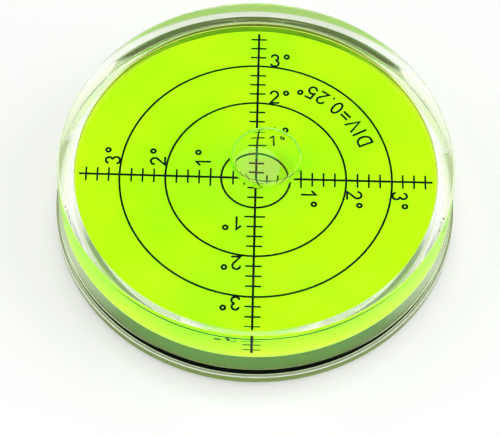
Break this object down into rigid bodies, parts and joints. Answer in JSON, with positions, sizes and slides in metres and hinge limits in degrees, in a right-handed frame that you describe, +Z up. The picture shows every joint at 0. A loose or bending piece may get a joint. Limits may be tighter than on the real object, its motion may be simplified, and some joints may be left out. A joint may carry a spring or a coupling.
{
  "type": "bullseye level",
  "caption": "Round clear bullseye level: a clear cap and base hold a green graduated dial under green liquid, with an air bubble that floats against a domed ceiling.",
  "frame": {"origin": "middle of the underside, on the surface that the level stands on", "axes": "+Z up through the dial; +Y towards the far arm of the dial's cross as the picture shows it, +X to the right"},
  "size_m": [0.06, 0.06, 0.0124],
  "materials": {
    "clear_cap": "polished clear acrylic",
    "clear_base": "polished clear acrylic",
    "green_dial": "fluorescent yellow-green",
    "black_ink": "printed black ink",
    "level_liquid": "green dyed spirit",
    "air_bubble": "air",
    "fill_stopper": "satin moulded plastic"
  },
  "bodies": {
    "root": {"clear_cap": "clear_cap", "clear_base": "clear_base", "green_dial": "green_dial", "dial_graduation": "black_ink", "level_liquid": "level_liquid", "air_bubble": "air_bubble", "fill_stopper": "fill_stopper"}
  },
  "joints": []
}
